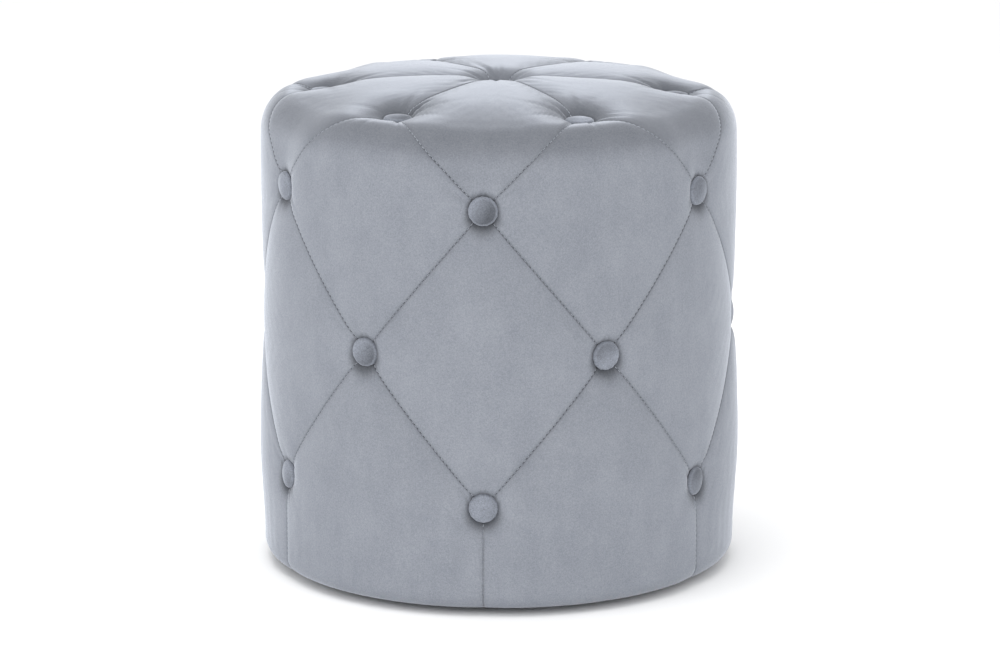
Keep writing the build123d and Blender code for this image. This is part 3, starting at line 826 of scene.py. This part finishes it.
def nap_group(name):
    """Velvet nap: clouds and streaks where the pile leans, its grain, painted shade on slopes, and darker nap
    with painted shade round buttons and along seams.
    """
    inputs = {"Flat colour": GREY, "Raised colour": GREY, "Cloud size": 0.03, "Slope shade": 1.0}
    group, given, result, place = new_group(name, {**inputs, "Pressed and shaded": 0.0}, {"Colour": 4, "Height": 1})
    lean = mottled(group, place, worked(group, "DIVIDE", 1.0, given["Cloud size"]), 5.0, 0.62)
    streaks = wired(group, "ShaderNodeMapping", {"Vector": place, "Scale": (70.0, 70.0, 18.0)}).outputs[0]
    brushed = mottled(group, streaks, 1.0, 4.0)
    tufts = mottled(group, place, 700.0, 2.0, 0.75)
    pile = mottled(group, place, 1300.0, 2.0, 0.7)
    for layer, share in ((brushed, 0.6), (tufts, 2.0), (pile, 2.6)):
        lean = worked(group, "MULTIPLY_ADD", layer, share, lean)
    raised = spread(group, lean, 2.4, 3.8)
    colour = mixed(group, raised, given["Flat colour"], given["Raised colour"])
    normal = wired(group, "ShaderNodeNewGeometry").outputs["Normal"]
    upright = wired(group, "ShaderNodeSeparateXYZ", {0: normal}).outputs["Z"]
    # Painted shade on slopes: a grey by how far the surface faces up, darkest between upright and level
    slope_shade_ramp = wired(group, "ShaderNodeValToRGB", {0: upright})
    set_greys(slope_shade_ramp.color_ramp, SLOPE_SHADE_STOPS)
    with_slope_shade = mixed(group, given["Slope shade"], colour, slope_shade_ramp.outputs[0], "MULTIPLY")
    # Darker where the nap is flattened and where shade is painted
    press_shade = spread(group, given["Pressed and shaded"], 0.0, 1.0, 1.0, PRESS_AND_SHADE_TONE)
    return give(group, result, Colour=mixed(group, 1.0, with_slope_shade, press_shade, "MULTIPLY"), Height=pile)


def set_greys(ramp, stops):
    """Set a ramp's grey stops."""
    for place, grey in stops[1:-1]:
        ramp.elements.new(place)
    for element, (place, grey) in zip(ramp.elements, stops):
        element.position = place
        element.color = (grey, grey, grey, 1)


def speckle_group(name):
    """Two shades mixed by fine noise, with a height for the bump."""
    inputs = {"Dark colour": GREY, "Light colour": GREY, "Speck size": 0.002, "Dull": 0.6, "Shiny": 0.4}
    group, given, result, place = new_group(name, inputs, {"Colour": 4, "Roughness": 1, "Height": 1})
    specks = mottled(group, place, worked(group, "DIVIDE", 1.0, given["Speck size"]), 6.0, 0.65)
    amount = spread(group, specks, 0.3, 0.7)
    colour = mixed(group, amount, given["Dark colour"], given["Light colour"])
    roughness = spread(group, specks, 0.3, 0.7, given["Dull"], given["Shiny"])
    return give(group, result, Colour=colour, Roughness=roughness, Height=specks)


def grain_group(name):
    """Wood grain: long wavering rings along a board, and fine pores."""
    inputs = {"Early wood": GREY, "Late wood": GREY, "Along the grain": (1.0, 1.0, 0.1)}
    group, given, result, place = new_group(name, inputs, {"Colour": 4, "Height": 1})
    along = {0: place, 1: given["Along the grain"]}
    drawn = wired(group, "ShaderNodeVectorMath", along, operation="MULTIPLY").outputs[0]
    rings = wired(
        group,
        "ShaderNodeTexWave",
        {"Vector": drawn, "Scale": 45.0, "Distortion": 7.0, "Detail": 3.0, "Detail Scale": 1.5},
        wave_type="BANDS",
        bands_direction="DIAGONAL",
    )
    pores = mottled(group, drawn, 900.0, 3.0)
    height = worked(group, "MULTIPLY_ADD", pores, 0.5, rings.outputs["Fac"])
    amount = spread(group, height, 0.1, 1.3)
    colour = mixed(group, amount, given["Early wood"], given["Late wood"])
    return give(group, result, Colour=colour, Height=height)


def opaque(colour, share=1.0):
    """A colour, or a darker share of it, for a socket."""
    return (*[channel * share for channel in colour], 1)


def grouped_material(name, group_name, build_group, values, bump, shading):
    """A material with its colour, height and roughness from a shared node group."""
    material = bpy.data.materials.new(name)
    material.use_nodes = True
    tree = material.node_tree
    tree.nodes.clear()
    group = bpy.data.node_groups.get(group_name) or build_group(group_name)
    surface = wired(tree, "ShaderNodeGroup", values, node_tree=group)
    # The painted shade and flattened nap stored with the mesh's points
    if "Pressed and shaded" in surface.inputs:
        pressed_and_shaded = wired(tree, "ShaderNodeAttribute", attribute_name="pressed_and_shaded")
        tree.links.new(pressed_and_shaded.outputs["Fac"], surface.inputs["Pressed and shaded"])
    relief = wired(tree, "ShaderNodeBump", {"Height": surface.outputs["Height"], **bump})
    inputs = {"Base Color": surface.outputs["Colour"], "Normal": relief.outputs[0], **shading}
    if "Roughness" in surface.outputs:
        inputs["Roughness"] = surface.outputs["Roughness"]
    shader = wired(tree, "ShaderNodeBsdfPrincipled", inputs)
    wired(tree, "ShaderNodeOutputMaterial", {0: shader.outputs[0]})
    return material


def nap_material(name, flat, raised, cloud_size, slope_shade_share, sheen):
    """A velvet material."""
    values = {
        "Flat colour": opaque(flat),
        "Raised colour": opaque(raised),
        "Cloud size": cloud_size,
        "Slope shade": slope_shade_share,
    }
    bump = {"Strength": 0.35, "Distance": 0.0004}
    shading = {
        "Roughness": 0.9,
        "Specular IOR Level": 0.1,
        "Sheen Weight": sheen,
        "Sheen Roughness": 0.32,
        "Sheen Tint": (0.88, 0.92, 1.0, 1),
    }
    return grouped_material(name, "Velvet nap", nap_group, values, bump, shading)


def speckled_material(name, colour, size, dull, shiny, bump, depth=0.75, metallic=0.0):
    """A plain material with the fine specks of its making."""
    values = {
        "Dark colour": opaque(colour, depth),
        "Light colour": opaque(colour),
        "Speck size": size,
        "Dull": dull,
        "Shiny": shiny,
    }
    shading = {"Metallic": metallic}
    return grouped_material(name, "Speckle", speckle_group, values, {"Distance": bump}, shading)


def wood_material(name, colour, along):
    """A bare wood material with its grain along one way."""
    values = {"Early wood": opaque(colour), "Late wood": opaque(colour, 0.66), "Along the grain": along}
    shading = {"Roughness": 0.75}
    return grouped_material(name, "Wood grain", grain_group, values, {"Distance": 0.0002}, shading)


# Turned pieces and the covered buttons


def turned(profile, segments, start=0, uneven=None):
    """Points and faces of a turned piece: its profile's ends on the axis, and rings between them.

    uneven(radius, turn) is added to the radius, and start is the number of the first point."""
    points = [(0.0, 0.0, profile[0][1])]
    for radius, height in profile[1:-1]:
        for step in range(segments):
            turn = tau * step / segments
            out = radius + uneven(radius, turn) if uneven else radius
            points.append((out * cos(turn), out * sin(turn), height))
    points.append((0.0, 0.0, profile[-1][1]))
    first = start + 1
    foot = first + (len(profile) - 3) * segments
    last = foot + segments
    faces = []
    for step in range(segments):
        after = (step + 1) % segments
        faces += [(start, first + step, first + after), (last, foot + after, foot + step)]
    for ring in range(first, foot, segments):
        faces += band(ring, ring + segments, segments)
    return points, faces


def button_profile(height):
    """Radius and height of a covered button from its middle out, over its rounded edge and in under it."""
    face = FLAT_SHARE * BUTTON_RADIUS
    edge_height = 0.74 * height
    rim = 0.22 * height
    steps = 8
    profile = []
    for step in range(steps + 1):
        share = step / steps
        profile.append((face * share, height - (height - edge_height) * share**2))
    for step in range(1, steps + 1):
        turn = pi / 2 * step / steps
        profile.append((face + (BUTTON_RADIUS - face) * sin(turn), rim + (edge_height - rim) * cos(turn)))
    return profile + [(BUTTON_RADIUS * 0.985, 0.0003), (BUTTON_RADIUS * 0.9, -0.0005), (0.0, -0.0005)]


def rim_tucks(random):
    """The small tucks of the cloth at a button's rim."""
    height = 0.00012
    starts = random.uniform(0, tau, 3)

    def uneven(radius, turn):
        wave = cos(13 * turn + starts[0]) + 0.7 * cos(19 * turn + starts[1])
        return (radius / BUTTON_RADIUS) ** 6 * height * wave

    return uneven


def button_nap_highlight_and_shade(profile, lie):
    """How dark a button's nap is: by the lie of its cloth, with a painted highlight at its edge, and fully
    dark with painted shade under it.
    """
    tone, swing, turn = 0.8 * lie[0], 0.2 + 0.5 * lie[1], tau * lie[2]
    pressed_and_shaded = [tone]
    for radius, height in profile[1:-1]:
        share = radius / BUTTON_RADIUS
        # Painted highlight: lighter where the cloth turns over the button's edge
        edge_highlight = np.clip((share - FLAT_SHARE) / 0.12, 0, 1)
        for step in range(BUTTON_SEGMENTS):
            brushed = tone + swing * share * cos(tau * step / BUTTON_SEGMENTS - turn)
            pressed_and_shaded.append(float(np.clip(brushed, 0, 1) * (1 - 0.8 * edge_highlight)))
    # Painted shade: fully dark under the button
    under = 3 * BUTTON_SEGMENTS
    return pressed_and_shaded[:-under] + [1.0] * (under + 1)


def button_seats(radius, height, angles, on_side):
    """Matrices that stand a row of buttons on their seats."""
    seats = []
    for angle in angles:
        outward = Vector((cos(angle), sin(angle), 0) if on_side else (0, 0, 1))
        turn = Vector((0, 0, 1)).rotation_difference(outward).to_matrix().to_4x4()
        seats.append(Matrix.Translation((radius * cos(angle), radius * sin(angle), height)) @ turn)
    return seats


def build_buttons(sizes, trim, finish):
    """The five rows of covered buttons."""
    random = np.random.default_rng(LEAN_SEED)
    rows = {
        "centre_button": button_seats(0, CENTRE_SEAT, [0.0], False),
        "seat_ring_buttons": button_seats(RING_RADIUS, RING_SEAT, MIDDLE_ANGLES, False),
    }
    for node, (height, angles) in SIDE_ROWS.items():
        rows[node] = button_seats(BODY_RADIUS - sizes.side_tuft_depth, height, angles, True)
    lies = iter(np.random.default_rng(LIE_SEED).uniform(size=(sum(map(len, rows.values())), 3)))
    raised = [channel * 1.7 for channel in finish.button_velvet]
    # The buttons take a smaller share of the painted shade on slopes
    velvet = nap_material("Button velvet", finish.button_velvet, raised, 0.008, 0.4, 0.7)
    profile = button_profile(trim.button_height)
    for node, seats in rows.items():
        points, faces, pressed_and_shaded = [], [], []
        for seat in seats:
            lean = random.uniform(-1, 1, 2) * trim.button_tilt
            lay = seat @ Matrix.Rotation(lean[0], 4, "X") @ Matrix.Rotation(lean[1], 4, "Y")
            button, sides = turned(profile, BUTTON_SEGMENTS, len(points), rim_tucks(random))
            points += [tuple(lay @ Vector(point)) for point in button]
            faces += sides
            pressed_and_shaded += button_nap_highlight_and_shade(profile, next(lies))
        row = new_object(f"velvet_{node}", points, faces)
        mark_press_and_shade(row, pressed_and_shaded)
        dress(row, velvet, node)


# The stitches


def seam_lines(outline):
    """Every seam as the angles and lengths of its two ends."""
    ring, upper, middle, lower = outline.button_lengths()
    lines = []
    for angle in MIDDLE_ANGLES:
        lines.append((angle, 0.0, angle, ring))
        for side in (-1, 1):
            column = angle + side * SECTOR / 2
            lines.append((angle, ring, column, upper))
            lines.append((column, upper, angle, middle))
            lines.append((angle, middle, column, lower))
    for angle in COLUMN_ANGLES:
        lines.append((angle, lower, angle, outline.side_end))
    return lines


def seam_track(outline, tufts, line):
    """Points along the bottom of a seam, close together, each with its outline's tilt and its angle."""
    share = np.linspace(0, 1, 240)
    angle = line[0] + (line[2] - line[0]) * share
    length = line[1] + (line[3] - line[1]) * share
    flat = outline.point(angle, length)
    drop = broad_drop(outline, tufts, flat, [np.zeros_like(share)])
    drop = drop + fine_drop(outline, tufts, flat) + STITCH_DEPTH * outline.sizes.seam_roll
    return np.column_stack((outline.point(angle, length, drop), outline.at(length)[2], angle))


def thread_stitch(middle, along, outward, trim, start):
    """Points and faces of one stitch: a short thread, bowed up in its middle and tapered to closed ends."""
    across = np.cross(outward, along)
    points, faces = [], []
    for share in (-1.0, -0.8, -0.35, 0.35, 0.8, 1.0):
        rise = trim.stitch_radius * 0.9 * (1 - share**2)
        centre = middle + along * share * trim.stitch_length / 2 + outward * rise
        radius = trim.stitch_radius * sqrt(max(1 - share**4, 0.04))
        if points:
            here = start + len(points)
            faces += band(here, here - THREAD_SIDES, THREAD_SIDES)
        for step in range(THREAD_SIDES):
            turn = tau * step / THREAD_SIDES
            points.append(centre + radius * (across * cos(turn) + outward * sin(turn)))
    last = start + len(points) - THREAD_SIDES
    faces.append(tuple(start + step for step in reversed(range(THREAD_SIDES))))
    faces.append(tuple(last + step for step in range(THREAD_SIDES)))
    return points, faces


def build_stitches(outline, trim, finish):
    """The thread in all the seams."""
    tufts = place_tufts(outline)
    seats = tuft_seats(outline, tufts)
    points, faces = [], []
    for line in seam_lines(outline):
        track = seam_track(outline, tufts, line)
        steps = np.linalg.norm(np.diff(track[:, :3], axis=0), axis=-1)
        far = np.concatenate(([0], np.cumsum(steps)))
        count = int(far[-1] / trim.stitch_pitch)
        for place in (np.arange(count) + 0.5) * far[-1] / count:
            spots = (place, place + 0.001)
            here, ahead = np.array([[np.interp(spot, far, row) for row in track.T] for spot in spots])
            middle, (tilt, angle) = here[:3], here[3:]
            if np.min(np.linalg.norm(seats - middle, axis=-1)) < STITCH_CLEARANCE * BUTTON_RADIUS:
                continue
            along = ahead[:3] - middle
            along /= np.linalg.norm(along)
            outward = np.array((sin(tilt) * cos(angle), sin(tilt) * sin(angle), cos(tilt)))
            outward = outward - along * (outward @ along)
            outward /= np.linalg.norm(outward)
            stitch, sides = thread_stitch(middle, along, outward, trim, len(points))
            points += stitch
            faces += sides
    stitches = new_object("seam_stitches", points, faces)
    thread = speckled_material("Sewing thread", finish.thread, 0.0004, 0.75, 0.6, 0.0001)
    stitches.data.materials.append(thread)
    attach(stitches, "root")


# The foam, the dust cloth and the frame's finishes


def build_foam(outline, finish):
    """The seat foam on the board, and the foam sleeve round the drum."""
    lengths = np.linspace(0, outline.length_at_height(BOARD_TOP), 48)
    radius, height, tilt = outline.at(lengths)
    depth = outline.padding(lengths)
    outer, inner, low, high, bevel = FOAM_RADIUS, DRUM_RADIUS, BASE_BOTTOM, BOARD_TOP, FOAM_BEVEL
    profile = list(zip(radius - depth * np.sin(tilt), height - depth * np.cos(tilt)))
    profile[-1] = (outer, high + bevel)
    profile += [(outer - bevel, high), (0.0, high)]
    seat_foam = new_object("seat_foam", *turned(profile, ROUND_SEGMENTS))
    section = [(outer - bevel, high), (outer, high - bevel), (outer, low + bevel), (outer - bevel, low)]
    section += [(inner + bevel, low), (inner, low + bevel), (inner, high - bevel), (inner + bevel, high)]
    points, faces = [], []
    for ring, (radius, height) in enumerate(section):
        after = (ring + 1) % len(section)
        faces += band(ring * ROUND_SEGMENTS, after * ROUND_SEGMENTS, ROUND_SEGMENTS)
        for step in range(ROUND_SEGMENTS):
            turn = tau * step / ROUND_SEGMENTS
            points.append((radius * cos(turn), radius * sin(turn), height))
    drum_foam = new_object("drum_foam", points, faces)
    foam = speckled_material("Open cell foam", finish.foam, 0.0016, 0.95, 0.85, 0.0006)
    dress(seat_foam, foam, "top_foam")
    dress(drum_foam, foam, "side_foam")


def build_dust_cloth(trim, finish):
    """The dust cloth under the base, with its edge folded in and a slight sag over the opening."""
    edge = DUST_CLOTH_RADIUS
    fold = edge - trim.fold_width
    layer = trim.cloth_layer
    top = HEM_BOTTOM - layer / 10
    below = top - layer
    under_fold = top - 1.8 * layer
    opening = BASE_RADIUS * OPENING_SHARE
    shares = np.linspace(0, 1, 14)
    sags = [(opening * share, trim.cloth_sag * (1 + cos(pi * share)) / 2) for share in shares]
    profile = [(radius, top - sag) for radius, sag in sags]
    profile += [(fold, top), (edge - layer / 2, top), (edge, below)]
    profile += [(edge - layer / 2, under_fold), (fold + layer, under_fold), (fold, below)]
    profile += [(radius, below - sag) for radius, sag in reversed(sags)]
    cloth = new_object("dust_cloth", *turned(profile, ROUND_SEGMENTS))
    spun = speckled_material("Spun dust cloth", finish.dust_cloth, 0.0011, 0.95, 0.8, 0.0004, depth=0.45)
    cloth.data.materials.append(spun)
    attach(cloth, "root")
    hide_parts("dust_cover")


def finish_frame(finish):
    """Finishes of the frame, the fasteners and the small parts that keep their own shapes."""
    metal = ["upper_screws", "lower_screws", "drum_tacks", "hem_staples", "dust_cover_staples"]
    metal += ["glide_nails", "button_backs"]
    uprights = [f"upright_{step + 1}" for step in range(REPEATS)]
    glides = [f"glide_{step + 1}" for step in range(REPEATS)]
    steel = speckled_material("Zinc plated steel", finish.steel, 0.0012, 0.5, 0.3, 0.00005, metallic=1.0)
    toggles = speckled_material("Toggle plastic", finish.toggle_plastic, 0.004, 0.5, 0.4, 0.0001)
    finishes = {
        wood_material("Birch plywood", finish.plywood, (0.12, 1.0, 1.0)): ["base_ring", "top_board"],
        wood_material("Sawn pine", finish.pine, (1.0, 1.0, 0.08)): uprights,
        speckled_material("Hardboard", finish.hardboard, 0.003, 0.7, 0.5, 0.0002): ["side_drum"],
        steel: metal,
        speckled_material("Waxed twine", finish.twine, 0.0009, 0.7, 0.5, 0.0003): ["tufting_twines"],
        toggles: ["twine_toggles"],
        speckled_material("Glide plastic", finish.glide_plastic, 0.002, 0.6, 0.42, 0.0002): glides,
    }
    for material, names in finishes.items():
        for name in names:
            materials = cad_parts[name].data.materials
            materials.clear()
            materials.append(material)


# The stage


def put(name, data, place, turn):
    """Put a lamp or a camera in the scene."""
    thing = bpy.data.objects.new(name, data)
    thing.location = place
    thing.rotation_euler = turn
    bpy.context.scene.collection.objects.link(thing)
    return thing


def soft_light(name, place, size, power):
    """A large square lamp aimed at the pouf's middle."""
    lamp = bpy.data.lights.new(name, "AREA")
    lamp.size = size
    lamp.energy = power
    aim = Vector((0, 0, cad_high.z / 2)) - Vector(place)
    put(name, lamp, place, aim.to_track_quat("-Z", "Y").to_euler())


def build_stage(stage, finish):
    """Pale floor, soft light and the camera."""
    scene = bpy.context.scene
    size = stage.floor_size
    corners = [(-size, -size, 0), (size, -size, 0), (size, size, 0), (-size, size, 0)]
    floor = new_object("floor", corners, [(0, 1, 2, 3)])
    pale = speckled_material("Pale floor", finish.floor, 0.3, 0.92, 0.86, 0.0, depth=0.99)
    floor.data.materials.append(pale)

    scene.world = bpy.data.worlds.new("White room")
    scene.world.use_nodes = True
    room = scene.world.node_tree.nodes["Background"]
    room.inputs["Color"].default_value = (1, 1, 1, 1)
    room.inputs["Strength"].default_value = stage.room_light
    soft_light("overhead lamp", (-0.2, -0.1, 1.9), 1.4, stage.overhead_power)
    soft_light("left lamp", (-2.2, -1.6, 1.3), 1.2, stage.left_power)
    soft_light("right lamp", (2.2, -1.8, 1.2), 1.2, stage.right_power)

    camera = bpy.data.cameras.new("camera")
    camera.lens = stage.lens
    camera.shift_x = stage.camera_shift
    turn = stage.camera_turn
    distance = stage.camera_distance
    place = (distance * sin(turn), -distance * cos(turn), stage.camera_height)
    scene.camera = put("camera", camera, place, (pi / 2 - stage.camera_pitch, 0, turn))
    scene.view_settings.view_transform = "Standard"


class POUF_OT_panels(bpy.types.Operator):
    """Sew the velvet panels"""

    bl_idname = "pouf.panels"
    bl_label = "Velvet panels"

    def execute(self, context):
        build_panels(Outline(context.scene.pouf_cover), context.scene.pouf_finish)
        return {"FINISHED"}


class POUF_OT_buttons(bpy.types.Operator):
    """Make the covered buttons"""

    bl_idname = "pouf.buttons"
    bl_label = "Covered buttons"

    def execute(self, context):
        scene = context.scene
        build_buttons(scene.pouf_cover, scene.pouf_trim, scene.pouf_finish)
        return {"FINISHED"}


class POUF_OT_stitches(bpy.types.Operator):
    """Stitch the seams"""

    bl_idname = "pouf.stitches"
    bl_label = "Seam stitches"

    def execute(self, context):
        scene = context.scene
        build_stitches(Outline(scene.pouf_cover), scene.pouf_trim, scene.pouf_finish)
        return {"FINISHED"}


class POUF_OT_foam(bpy.types.Operator):
    """Lay the foam under the cover"""

    bl_idname = "pouf.foam"
    bl_label = "Foam"

    def execute(self, context):
        build_foam(Outline(context.scene.pouf_cover), context.scene.pouf_finish)
        return {"FINISHED"}


class POUF_OT_dust_cloth(bpy.types.Operator):
    """Stretch the dust cloth under the base"""

    bl_idname = "pouf.dust_cloth"
    bl_label = "Dust cloth"

    def execute(self, context):
        build_dust_cloth(context.scene.pouf_trim, context.scene.pouf_finish)
        return {"FINISHED"}


class POUF_OT_frame(bpy.types.Operator):
    """Finish the wooden frame and the small parts"""

    bl_idname = "pouf.frame"
    bl_label = "Frame finishes"

    def execute(self, context):
        finish_frame(context.scene.pouf_finish)
        return {"FINISHED"}


class POUF_OT_stage(bpy.types.Operator):
    """Set the floor, the light and the camera"""

    bl_idname = "pouf.stage"
    bl_label = "Stage"

    def execute(self, context):
        build_stage(context.scene.pouf_stage, context.scene.pouf_finish)
        return {"FINISHED"}


OPERATORS = (
    POUF_OT_panels,
    POUF_OT_buttons,
    POUF_OT_stitches,
    POUF_OT_foam,
    POUF_OT_dust_cloth,
    POUF_OT_frame,
    POUF_OT_stage,
)
GROUPS = {
    "pouf_cover": PoufCover,
    "pouf_trim": PoufTrim,
    "pouf_finish": PoufFinish,
    "pouf_stage": PoufStage,
}


class POUF_PT_sidebar(bpy.types.Panel):
    """The pouf's settings and steps"""

    bl_label = "Tufted pouf"
    bl_idname = "POUF_PT_sidebar"
    bl_space_type = "VIEW_3D"
    bl_region_type = "UI"
    bl_category = "Pouf"

    def draw(self, context):
        for attribute, group in GROUPS.items():
            box = self.layout.box()
            box.label(text=group.__doc__)
            for setting in group.__annotations__:
                box.prop(getattr(context.scene, attribute), setting)
        for operator in OPERATORS:
            self.layout.operator(operator.bl_idname)


CLASSES = (*GROUPS.values(), *OPERATORS, POUF_PT_sidebar)


def register():
    for part in CLASSES:
        bpy.utils.register_class(part)
    for attribute, group in GROUPS.items():
        setattr(bpy.types.Scene, attribute, PointerProperty(type=group))


def unregister():
    for attribute in GROUPS:
        delattr(bpy.types.Scene, attribute)
    for part in reversed(CLASSES):
        bpy.utils.unregister_class(part)


def main():
    register()
    bpy.ops.pouf.panels()
    bpy.ops.pouf.buttons()
    bpy.ops.pouf.stitches()
    bpy.ops.pouf.foam()
    bpy.ops.pouf.dust_cloth()
    bpy.ops.pouf.frame()
    bpy.ops.pouf.stage()


if __name__ == "__main__":
    main()
